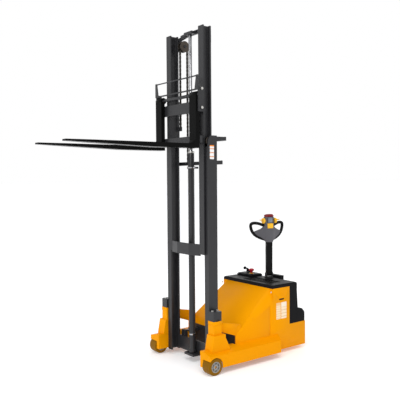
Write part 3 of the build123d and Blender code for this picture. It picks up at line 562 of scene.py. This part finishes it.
def hoodGusset(sign, name):  # closes the end of the fold under the cover
    x = slopeTop[0] + body["gusset"]["in"]
    front = [(x, c.x, c.y) for c in foldCurve()] + [(x, body["half"], slopeTop[1])]
    both = front + [(x - body["gusset"]["thick"], y, z) for x, y, z in front]
    count = len(front)
    faces = [tuple(range(count)), tuple(range(count, 2 * count))]
    faces += [(k, (k + 1) % count, (k + 1) % count + count, k + count) for k in range(count)]
    return meshObject(name, [(x, sign * y, z) for x, y, z in both], faces)


def hoodSheet():
    footX, footZ = slopeFoot
    topX, topZ = slopeTop
    inside = body["half"] - body["wall"]
    rise, run = topZ - footZ, footX - topX
    length = sqrt(rise * rise + run * run)
    inX, inZ = -body["hoodWall"] * rise / length, -body["hoodWall"] * run / length
    outline = [(footX, footZ), (topX, topZ), (topX + inX, topZ + inZ), (footX + inX, footZ + inZ)]
    sheet = prism("hood_sheet", outline, "y", -inside, inside)
    for sign in (1, -1):
        cut(sheet, foldCutter(sign))
    return sheet


seam, screw = body["seam"], body["screw"]
screwHeights = (("foot", seam["foot"] - screw["below"]), ("top", seam["top"] - screw["under"]))
for sign, word in sides:
    plate = placed(sidePlate(sign, "side_plate_" + word))
    finish(plate, yellow, "truck", stands=["side_panel_" + word], bevel=body["round"])
    finish(placed(slotLiner(sign, "slot_liner_" + word)), coverPlastic, "truck")
    for end, z in screwHeights:
        piece = lathe(f"panel_screw_{end}_{word}", screw["profile"],
                      (seam["x"] - screw["back"], sign * body["half"], z), (0, sign, 0), 20)
        finish(smooth(placed(piece)), bolt, "truck")
    finish(placed(foldSheet(sign, "hood_corner_" + word)), yellow, "truck")
    finish(placed(hoodGusset(sign, "hood_gusset_" + word)), yellow, "truck")
finish(placed(hoodSheet()), yellow, "truck", stands=["hood_front"], bevel=body["hoodRound"])
print("body sheets made")


# blank labels, with a head band and rules but no text
labels = {
    "side_label_front": {"x": (-899, -840), "z": (340, 500), "body": "truck", "face": body["half"],
                         "look": {"paper": (0.86, 0.66, 0.42), "ink": (0.62, 0.36, 0.10), "rules": 14,
                                  "band": (0.80, 0.50, 0.22), "bandFrom": 0.472, "ruleDark": 0.5}},
    "side_label_rear": {"x": (-979, -906), "z": (340, 500), "body": "truck", "face": body["half"],
                        "look": {"paper": (0.86, 0.70, 0.50), "ink": (0.60, 0.38, 0.14), "rules": 10,
                                 "band": (0.84, 0.74, 0.60), "bandFrom": 0.455, "ruleDark": 0.55}},
    "mast_label": {"x": (-113, -66), "z": (1880, 2004), "body": "mast", "face": 325,
                   "look": {"paper": (0.80, 0.80, 0.80), "ink": (0.65, 0.20, 0.02), "rules": 9,
                            "band": (0.75, 0.22, 0.02), "bandFrom": 1.992, "ruleDark": 0.8}},
}
labelFilm = {"from": 0.02, "to": 0.4, "round": 5}
for name, label in labels.items():
    x0, x1 = label["x"]
    z0, z1 = label["z"]
    outline = roundedRect((x0 + x1) / 2, (z0 + z1) / 2, x1 - x0, z1 - z0, labelFilm["round"])
    piece = prism(name, outline, "y", label["face"] + labelFilm["from"], label["face"] + labelFilm["to"])
    film = stickerMaterial(name.replace("_", " "), label["look"])
    finish(placed(piece), film, label["body"])

# the backrest's bolts and the bright bands round the lift cylinder
carriageBolt = {
    "places": [(28, 342, 2326), (28, 342, 2491)], "sunk": 0.4,
    "washer": [(0, 12.5), (2.2, 12.5), (2.4, 12)], "head": [(2.3, 9.6), (7.4, 9.6), (8.4, 8.6)],
    "round": 0.0004,
}
for k, (x, y, z) in enumerate(carriageBolt["places"]):
    for sign, word in sides:
        foot = (x, sign * (y - carriageBolt["sunk"]), z)
        washer = lathe("washer", carriageBolt["washer"], foot, (0, sign, 0), 28)
        head = lathe("head", carriageBolt["head"], foot, (0, sign, 0), 6)
        piece = placed(join(f"carriage_bolt_{k}_{word}", [washer, head]))
        finish(piece, bolt, "carriage", bevel=carriageBolt["round"])
cylinderBand = {"x": -100, "middles": (1811, 252), "wide": (38.4, 31.2), "tall": 13, "thick": 1.6,
                "corner": 1}
for k, (z, wide) in enumerate(zip(cylinderBand["middles"], cylinderBand["wide"])):
    tall, corner, bore = cylinderBand["tall"], cylinderBand["corner"], wide - cylinderBand["thick"]
    profile = [(0, wide - corner), (corner, wide), (tall - corner, wide), (tall, wide - corner)]
    profile += [(tall, bore), (0, bore)]
    foot = (cylinderBand["x"], 0, z - tall / 2)
    band = lathe(f"cylinder_band_{k}", profile, foot, (0, 0, 1), 48, True)
    finish(smooth(placed(band)), chrome, "mast")
print("labels and fittings made")


# leaf chains, link by link
chain = {"rearX": -181, "frontX": -99, "y": 160, "anchor": 1870, "pulley": 2957, "lug": 2200, "pitch": 19.05,
         "plate": 2.1, "half": 12.6, "pin": 2.4, "depth": 9.2, "waist": 0.35, "corners": (-60, -20, 20, 60),
         "outerPlates": (-11.4, -3.9, 3.9, 11.4), "innerPlates": (-8.9, -6.4, -1.3, 1.3, 6.4, 8.9)}


def closeRings(bm, rings):  # two rings of points become a capped band
    count = len(rings[0])
    bm.faces.new(rings[0])
    bm.faces.new(list(reversed(rings[1])))
    for k in range(count):
        n = (k + 1) % count
        bm.faces.new((rings[0][k], rings[1][k], rings[1][n], rings[0][n]))


def addLink(bm, centre, along, out, odd):
    side = along.cross(out)
    pitch, depth = chain["pitch"], chain["depth"] / 2
    outline = []
    for end in (1, -1):
        for a in chain["corners"]:
            t = radians(a)
            reach = pitch / 2 + (depth * cos(t) - chain["waist"] * depth)
            outline.append((end * reach, end * depth * sin(t)))
    w = chain["plate"] / 2
    for offset in chain["outerPlates"] if odd else chain["innerPlates"]:
        closeRings(bm, [[bm.verts.new(centre + along * u + out * v + side * (offset + s))
                         for u, v in outline] for s in (-w, w)])
    circle = [(chain["pin"] * cos(pi * k / 4), chain["pin"] * sin(pi * k / 4)) for k in range(8)]
    closeRings(bm, [[bm.verts.new(centre + along * (pitch / 2 + u) + out * v + side * s) for u, v in circle]
                    for s in (-chain["half"], chain["half"])])


def chainPiece(name, path, spanLength):  # path gives a centre, a direction and an outward side
    bm = bmesh.new()
    count = int(spanLength / chain["pitch"])
    for sign in (1, -1):
        for k in range(count):
            centre, along, out = path((k + 0.5) * spanLength / count)
            addLink(bm, Vector((centre[0], sign * chain["y"], centre[2])), along, out, k % 2)
    bmesh.ops.recalc_face_normals(bm, faces=bm.faces)
    mesh = bpy.data.meshes.new(name)
    bm.to_mesh(mesh)
    bm.free()
    return placed(link(bpy.data.objects.new(name, mesh)))


up, fore = Vector((0, 0, 1)), Vector((1, 0, 0))
pulleyX = (chain["rearX"] + chain["frontX"]) / 2
wrapRadius = (chain["frontX"] - chain["rearX"]) / 2


def rearPath(s):
    return Vector((chain["rearX"], 0, chain["anchor"] + s)), up, -fore


def frontPath(s):
    return Vector((chain["frontX"], 0, chain["pulley"] - s)), -up, fore


def wrapPath(s):
    a = pi - s / wrapRadius
    out = Vector((cos(a), 0, sin(a)))
    return Vector((pulleyX, 0, chain["pulley"])) + out * wrapRadius, Vector((sin(a), 0, -cos(a))), out


rear = chainPiece("rear_chain_strands", rearPath, chain["pulley"] - chain["anchor"])
front = chainPiece("front_chain_strands", frontPath, chain["pulley"] - chain["lug"])
wraps = chainPiece("chain_turns", wrapPath, pi * wrapRadius)
for strand in (rear, front, wraps):
    strand.data.materials.append(chainSteel)
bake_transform(rear)
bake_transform(front)
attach(wraps, "inner_mast")
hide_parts("chains_rear")
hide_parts("chains_front")
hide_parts("chain_wraps")
print("chains made")


# tiller head: a swept grey body, two hand loops, display and keys
tiller = {
    "axisX": -1098, "turn": 75, "sweep": {"middle": 4, "from": 30, "slope": 0.34},
    "rows": [(1046, 38, 0), (1056, 45, 0), (1068, 58, 0), (1080, 82, 0), (1096, 116, 0), (1112, 140, 0),
             (1130, 153, 0), (1146, 157, 0), (1158, 150, 0), (1170, 122, 0), (1184, 90, 0), (1198, 70, 0),
             (1215, 61, 0), (1240, 57, 0), (1270, 56, 0), (1296, 56, 0), (1306, 55, 0), (1307, 54, 2),
             (1307, 51, 8), (1288, 51, 8)],
    "pad": [(1299, 49.6, 10.2), (1315, 49.6, 10.2), (1316, 54, 1.5), (1320, 53, 3), (1326, 49, 8),
            (1331, 42, 15), (1335, 31, 25), (1336.6, 16, 37)],
    "section": {"full": 50, "slim": 27, "fall": 58, "power": 6, "side": 0.75, "edge": 0.42},
    "loop": [(26, 1217), (54, 1218), (84, 1231), (120, 1243), (164, 1246), (187, 1233), (187, 1201),
             (177, 1163), (153, 1126), (115, 1099), (64, 1078), (26, 1070)],
    "loopRadius": 15.6, "loopBack": 2,
    "neck": {"x": 1, "size": (46, 66), "corner": 10, "z": (1001, 1056), "round": 0.002},
    "thumb": {"x": 8, "z": 1268, "radius": 28, "inner": 57.5, "outer": 81, "tip": 112, "lap": 4,
              "corner": 2, "rim": [(-5, 0), (-1.5, -3), (0, -8), (-2.5, -10)], "dish": (2.5, 7), "pip": 6,
              "paddle": [(-3, 3), (20, 9), (24, 14), (18, 16), (-4, 12)], "round": 0.0015},
    "display": {"half": 26, "foot": 1248, "top": 1303,
                "bezel": {"rim": 8, "corner": 8, "x": (24, 30.4), "round": 0.001},
                "glass": {"rim": 0, "corner": 6, "x": (26, 31.4), "round": 0.0006}},
}


def steered(obj):
    a = radians(tiller["turn"])
    obj.data.transform(Matrix.Translation(spot(tiller["axisX"], 0, 0)) @ Matrix.Rotation(a, 4, "Z")
                       @ Matrix.Scale(0.001, 4))
    return obj


def sweepBack(s):
    sweep = tiller["sweep"]
    return sweep["middle"] - sweep["slope"] * max(0, abs(s) - sweep["from"])


def stacked(name, rows, steps=56):  # rows of height, half width and how much thinner the section is there
    section = tiller["section"]
    full, slim = section["full"], section["slim"]
    verts, faces = [], []
    for z, half, less in rows:
        for k in range(steps):
            a = 2 * pi * k / steps
            s = half * (abs(cos(a)) ** section["side"]) * (1 if cos(a) >= 0 else -1)
            thick = slim + (full - slim) / (1 + (abs(s) / section["fall"]) ** section["power"]) - less
            edge = abs(sin(a)) ** section["edge"] * (1 if sin(a) >= 0 else -1)
            verts.append((sweepBack(s) + edge * thick / 2, s, z))
    rings = len(rows)
    for r in range(rings - 1):
        for k in range(steps):
            n = (k + 1) % steps
            faces.append((r * steps + k, r * steps + n, (r + 1) * steps + n, (r + 1) * steps + k))
    faces += [tuple(reversed(range(steps))), tuple(range((rings - 1) * steps, rings * steps))]
    return smooth(steered(meshObject(name, verts, faces)), 50)


finish(stacked("tiller_body", tiller["rows"]), greyPlastic, "tiller", stands=["tiller_head"])
finish(stacked("belly_pad", tiller["pad"]), bellyRed, "belly_button", stands=["belly_button"])
for sign, word in sides:
    points = [(sweepBack(w) - tiller["loopBack"], sign * w, z) for w, z in tiller["loop"]]
    loop = tube("hand_loop_" + word, points, tiller["loopRadius"], 8)
    finish(steered(loop), gripRubber, "tiller")
neck = tiller["neck"]
piece = prism("tiller_neck", roundedRect(neck["x"], 0, *neck["size"], neck["corner"]), "z", *neck["z"])
finish(steered(piece), gripRubber, "tiller", bevel=neck["round"])
thumb = tiller["thumb"]
inner, outer, radius, corner = (thumb[key] for key in ("inner", "outer", "radius", "corner"))
profile = [(inner, radius - corner), (inner + corner, radius)]
profile += [(outer + along, radius + out) for along, out in thumb["rim"]]
profile += [(outer - thumb["dish"][0], thumb["dish"][1]), (outer, thumb["pip"])]
paddle = [(thumb["x"] + dx, thumb["z"] + dz) for dx, dz in thumb["paddle"]]
parts = []
for sign in (1, -1):
    parts.append(lathe("disc", profile, (thumb["x"], 0, thumb["z"]), (0, sign, 0), 48))
    parts.append(prism("paddle", paddle, "y", *sorted((sign * (outer - thumb["lap"]), sign * thumb["tip"]))))
wings = join("thumb_lever", parts)
finish(steered(wings), yellowPlastic, "thumb_wings", stands=["butterfly"], bevel=thumb["round"])
show = tiller["display"]
layers = (("bezel", coverPlastic, "black_cover"), ("glass", displayGlass, "grey_plastic"))
for layer, material, slot in layers:
    size = show[layer]
    outline = roundedRect(0, (show["foot"] + show["top"]) / 2, 2 * show["half"] + size["rim"],
                          show["top"] - show["foot"] + size["rim"], size["corner"])
    piece = prism("display_" + layer, outline, "x", *size["x"])
    finish(steered(piece), material, "tiller", bevel=size["round"])
print("tiller head made")


# cover: a ribbed mat in the recess, the stop mushroom and the bent hand lever
mat = {"x": (-992, -843), "y": (-102, 262), "z": (667.8, 670.5), "pitch": 12, "ribWide": 5, "ribHigh": 2,
       "ribSunk": 0.2, "insetX": 5, "insetY": 6, "round": 0.0006}
parts = [slab("mat", *mat["x"], *mat["y"], *mat["z"])]
matTop, y = mat["z"][1], mat["y"][0] + mat["insetY"]
while y < mat["y"][1] - mat["insetY"]:
    parts.append(slab("rib", mat["x"][0] + mat["insetX"], mat["x"][1] - mat["insetX"], y, y + mat["ribWide"],
                      matTop - mat["ribSunk"], matTop + mat["ribHigh"]))
    y += mat["pitch"]
finish(placed(join("cover_mat", parts)), gripRubber, "truck", bevel=mat["round"])
stop = {"place": (-1040, -205, 0), "collar": [(699.5, 25), (701, 25), (702, 23), (702, 15), (699.5, 15)],
        "profile": [(664, 8.9), (708, 8.9), (709, 13), (722, 14), (724, 19), (728, 25), (734, 27.5),
                    (740, 27), (745, 23.5), (749, 16), (750.6, 6), (751, 2)]}
knob = lathe("stop_mushroom", stop["profile"], stop["place"], (0, 0, 1), 40)
finish(smooth(placed(knob), 40), redPlastic, "stop_button", stands=["stop_button"])
ring = lathe("stop_collar", stop["collar"], stop["place"], (0, 0, 1), 40, True)
finish(smooth(placed(ring)), yellowPlastic, "truck")
lever = {"pivot": (-1085, -300, 716), "boss": [(-15, 10), (-14, 11.5), (14, 11.5), (15, 10)], "radius": 7,
         "points": [(-1085, -300, 716), (-1076, -297, 729), (-1062, -293, 738), (-1040, -286, 742),
                    (-1022, -280, 746), (-1012, -277, 750)],
         "knob": [(0, 7.5), (3, 12), (8, 15), (15, 16), (22, 14.5), (26, 10), (28, 3)],
         "knobAt": (-1020, -279, 742), "knobAim": (0.75, 0.22, 0.6)}
boss = lathe("boss", lever["boss"], lever["pivot"], (0, 1, 0), 32)
stem = tube("stem", lever["points"], lever["radius"], 6)
ball = lathe("ball", lever["knob"], lever["knobAt"], lever["knobAim"], 32)
bent = smooth(placed(join("bent_lever", [boss, stem, ball])), 40)
finish(bent, gripRubber, "hand_lever", stands=["hand_lever"])
flange = {"x": (-124.5, -30.5), "y": (327.5, 408.5), "z": (416, 448.5), "round": 0.0008,
          "hole": {"x": (-121.5, -33.5), "y": (320, 405.5), "z": (410, 455)}}
hole = flange["hole"]
for sign, word in sides:  # the flange under each pivot cap
    outer = slab("post_flange_" + word, *flange["x"], *sorted(sign * y for y in flange["y"]), *flange["z"])
    cut(outer, slab("flange cutter", *hole["x"], *sorted(sign * y for y in hole["y"]), *hole["z"]))
    finish(placed(outer), yellow, "truck", bevel=flange["round"])
print("cover made")


# stage, light and camera

camera = {
    "place": (3097.2, 4328.4, 1714.5),
    "look": (-0.60566, -0.79482, -0.03806),
    "roll": -0.41,
    "lens": 52.0, "sensor": 36, "reach": 200,
}
lights = {
    "key": {"place": (6.8, 2.9, 5.4), "aim": (-0.3, 0, 0.9), "size": 3.5, "power": 190},
    "rim": {"place": (-4.5, -4.0, 4.5), "aim": (0, 0, 1.5), "size": 4.0, "power": 50},
}
overhead = {"angle": 40, "strength": 1.1, "lean": (0.25, 0.35)}
surround = {"colour": (1.0, 1.0, 1.0), "strength": 1.0, "high": (0.35, 0.36, 0.38), "blend": (0.34, 0.75),
            "floor": (0.97, 0.97, 0.97), "floorShade": 0.985, "floorSize": 400, "floorGlow": 0.2}


def makeCamera():
    data = bpy.data.cameras.new("camera")
    data.lens = camera["lens"]
    data.sensor_width = camera["sensor"]
    data.clip_end = camera["reach"]
    obj = link(bpy.data.objects.new("camera", data))
    look = Vector(camera["look"]).normalized()
    right = look.cross(Vector((0, 0, 1))).normalized()
    up = right.cross(look)
    a = radians(camera["roll"])
    tilted = right * cos(a) + up * sin(a)
    up = tilted.cross(look)
    turn = Matrix((tilted, up, -look)).transposed().to_4x4()
    obj.matrix_world = Matrix.Translation(spot(*camera["place"])) @ turn
    bpy.context.scene.camera = obj


def makeLights():
    for name, light in lights.items():
        data = bpy.data.lights.new(name, "AREA")
        data.size = light["size"]
        data.energy = light["power"]
        obj = link(bpy.data.objects.new(name, data))
        obj.location = light["place"]
        obj.rotation_euler = (Vector(light["aim"]) - obj.location).to_track_quat("-Z", "Y").to_euler()
    data = bpy.data.lights.new("overhead", "SUN")
    data.angle = radians(overhead["angle"])
    data.energy = overhead["strength"]
    obj = link(bpy.data.objects.new("overhead", data))
    obj.rotation_euler = (-overhead["lean"][1], overhead["lean"][0], 0)
    world = bpy.data.worlds.new("studio")
    world.use_nodes = True
    tree = world.node_tree
    background = tree.nodes["Background"]
    background.inputs["Strength"].default_value = surround["strength"]
    coords = tree.nodes.new("ShaderNodeTexCoord")
    split = tree.nodes.new("ShaderNodeSeparateXYZ")
    ramp = tree.nodes.new("ShaderNodeValToRGB")
    ramp.color_ramp.elements[0].position = surround["blend"][0]
    ramp.color_ramp.elements[1].position = surround["blend"][1]
    ramp.color_ramp.elements[0].color = (*surround["colour"], 1)
    ramp.color_ramp.elements[1].color = (*surround["high"], 1)
    tree.links.new(coords.outputs["Generated"], split.inputs["Vector"])
    tree.links.new(split.outputs["Z"], ramp.inputs["Fac"])
    tree.links.new(ramp.outputs["Color"], background.inputs["Color"])
    bpy.context.scene.world = world
    bpy.context.scene.view_settings.view_transform = "Standard"


def makeFloor():
    half = surround["floorSize"] / 2
    floor = meshObject("floor", [(-half, -half, 0), (half, -half, 0), (half, half, 0), (-half, half, 0)],
                       [(0, 1, 2, 3)])
    n = Nodes("floor")
    shade = tuple(c * surround["floorShade"] for c in surround["floor"])
    n.join(n.mix(n.span(n.noise(2, 4), 0, 1), surround["floor"], shade), n.shader.inputs["Base Color"])
    n.shader.inputs["Roughness"].default_value = 0.8
    n.shader.inputs["Emission Color"].default_value = (1, 1, 1, 1)
    n.shader.inputs["Emission Strength"].default_value = surround["floorGlow"]
    floor.data.materials.append(n.material)


makeCamera()
makeLights()
makeFloor()
print("stage ready")
